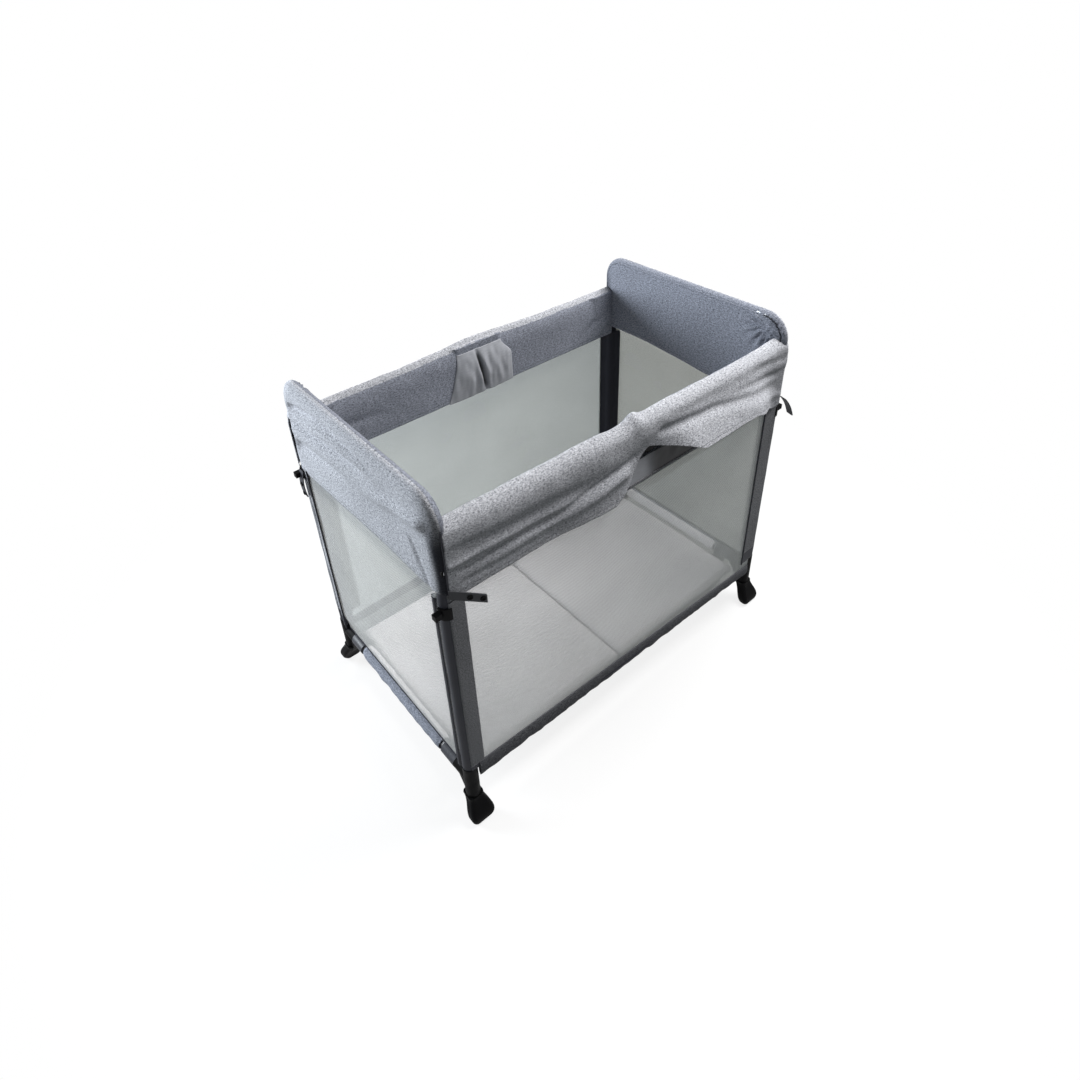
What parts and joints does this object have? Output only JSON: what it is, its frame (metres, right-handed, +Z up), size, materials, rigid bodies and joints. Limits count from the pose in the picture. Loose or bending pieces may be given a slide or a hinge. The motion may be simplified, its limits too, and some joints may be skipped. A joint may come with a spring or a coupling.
{
  "type": "folding playpen",
  "caption": "Folding travel playpen: rigid end frames with raised fabric panels, net sides, hinged side rails with release buttons and a hinged padded base.",
  "frame": {"origin": "on the floor under the middle of the open playpen", "axes": "+X along the playpen towards the right end, +Y towards the back side, +Z up"},
  "size_m": [0.991, 0.6042, 0.86],
  "materials": {
    "tube_metal": "satin drawn tube",
    "foot_plastic": "fine grained black moulding",
    "knuckle_plastic": "satin dark grey moulding",
    "melange_fabric": "grey melange woven polyester",
    "dark_sleeve": "dark grey melange woven polyester",
    "net_fabric": "light grey hexagonal net",
    "mattress_fabric": "light grey knitted mattress cover",
    "board": "plain fibreboard",
    "rivet_steel": "plated steel",
    "webbing": "black woven webbing"
  },
  "bodies": {
    "left_end": {"left_hoop": "tube_metal", "left_bottom_bar": "tube_metal", "left_front_foot": "foot_plastic", "left_back_foot": "foot_plastic", "left_bar_collars": "knuckle_plastic", "left_frame_sleeves": "dark_sleeve", "left_end_cover": "melange_fabric", "left_end_mesh": "net_fabric", "left_rail_rivets": "rivet_steel", "left_leg_hooks": "foot_plastic", "left_closing_straps": "webbing", "left_strap_studs": "rivet_steel", "front_mesh": "net_fabric", "front_rail_cover": "melange_fabric", "front_bottom_hem": "dark_sleeve", "back_mesh": "net_fabric", "back_rail_cover": "melange_fabric", "back_bottom_hem": "dark_sleeve"},
    "right_end": {"right_hoop": "tube_metal", "right_bottom_bar": "tube_metal", "right_front_foot": "foot_plastic", "right_back_foot": "foot_plastic", "right_bar_collars": "knuckle_plastic", "right_frame_sleeves": "dark_sleeve", "right_end_cover": "melange_fabric", "right_end_mesh": "net_fabric", "right_rail_rivets": "rivet_steel", "right_leg_hooks": "foot_plastic", "right_closing_straps": "webbing", "right_strap_studs": "rivet_steel"},
    "base_left": {"base_left_tubes": "tube_metal", "base_left_pivots": "knuckle_plastic", "base_left_hinges": "foot_plastic", "base_left_board": "board", "base_left_mattress": "mattress_fabric", "base_hinge_pins": "rivet_steel"},
    "base_right": {"base_right_tubes": "tube_metal", "base_right_pivots": "knuckle_plastic", "base_right_hinges": "foot_plastic", "base_right_board": "board", "base_right_mattress": "mattress_fabric"},
    "rail_front_left": {"front_rail_left_tube": "tube_metal", "front_rail_left_fork": "foot_plastic", "front_rail_left_hinge": "foot_plastic", "front_rail_hinge_pin": "rivet_steel"},
    "rail_front_right": {"front_rail_right_tube": "tube_metal", "front_rail_right_fork": "foot_plastic", "front_rail_right_hinge": "foot_plastic", "front_button_spring": "rivet_steel"},
    "front_button": {"front_release_button": "foot_plastic"},
    "rail_back_left": {"back_rail_left_tube": "tube_metal", "back_rail_left_fork": "foot_plastic", "back_rail_left_hinge": "foot_plastic", "back_rail_hinge_pin": "rivet_steel"},
    "rail_back_right": {"back_rail_right_tube": "tube_metal", "back_rail_right_fork": "foot_plastic", "back_rail_right_hinge": "foot_plastic", "back_button_spring": "rivet_steel"},
    "back_button": {"back_release_button": "foot_plastic"}
  },
  "joints": [
    {"name": "fold", "type": "hinge", "parent": "left_end", "child": "base_left", "pos_m": [-0.461, 0, 0.12], "axis": [0, -1, 0], "range_deg": [0, 87], "deforming": ["front_mesh", "front_rail_cover", "front_bottom_hem", "back_mesh", "back_rail_cover", "back_bottom_hem"]},
    {"name": "base_centre_fold", "type": "hinge", "parent": "base_left", "child": "base_right", "pos_m": [0, 0, 0.064], "axis": [0, -1, 0], "range_deg": [-174, 0]},
    {"name": "right_end_fold", "type": "hinge", "parent": "base_right", "child": "right_end", "pos_m": [0.461, 0, 0.12], "axis": [0, -1, 0], "range_deg": [0, 87]},
    {"name": "front_rail_end_fold", "type": "hinge", "parent": "left_end", "child": "rail_front_left", "pos_m": [-0.461, -0.264, 0.712], "axis": [0, 1, 0], "range_deg": [0, 87]},
    {"name": "front_rail_centre_fold", "type": "hinge", "parent": "rail_front_left", "child": "rail_front_right", "pos_m": [0, -0.264, 0.768], "axis": [0, 1, 0], "range_deg": [-174, 0]},
    {"name": "front_button_press", "type": "slide", "parent": "rail_front_right", "child": "front_button", "axis": [0, 0, 1], "range_m": [0, 0.005], "stiffness_N_per_m": 250, "springref_m": -0.004, "deforming": ["front_button_spring"]},
    {"name": "back_rail_end_fold", "type": "hinge", "parent": "left_end", "child": "rail_back_left", "pos_m": [-0.461, 0.264, 0.712], "axis": [0, 1, 0], "range_deg": [0, 87]},
    {"name": "back_rail_centre_fold", "type": "hinge", "parent": "rail_back_left", "child": "rail_back_right", "pos_m": [0, 0.264, 0.768], "axis": [0, 1, 0], "range_deg": [-174, 0]},
    {"name": "back_button_press", "type": "slide", "parent": "rail_back_right", "child": "back_button", "axis": [0, 0, 1], "range_m": [0, 0.005], "stiffness_N_per_m": 250, "springref_m": -0.004, "deforming": ["back_button_spring"]}
  ],
  "couplings": [
    {"joint": "base_centre_fold", "follows": "fold", "ratio": -2},
    {"joint": "right_end_fold", "follows": "fold", "ratio": 1},
    {"joint": "front_rail_end_fold", "follows": "fold", "ratio": 1},
    {"joint": "front_rail_centre_fold", "follows": "fold", "ratio": -2},
    {"joint": "back_rail_end_fold", "follows": "fold", "ratio": 1},
    {"joint": "back_rail_centre_fold", "follows": "fold", "ratio": -2}
  ]
}
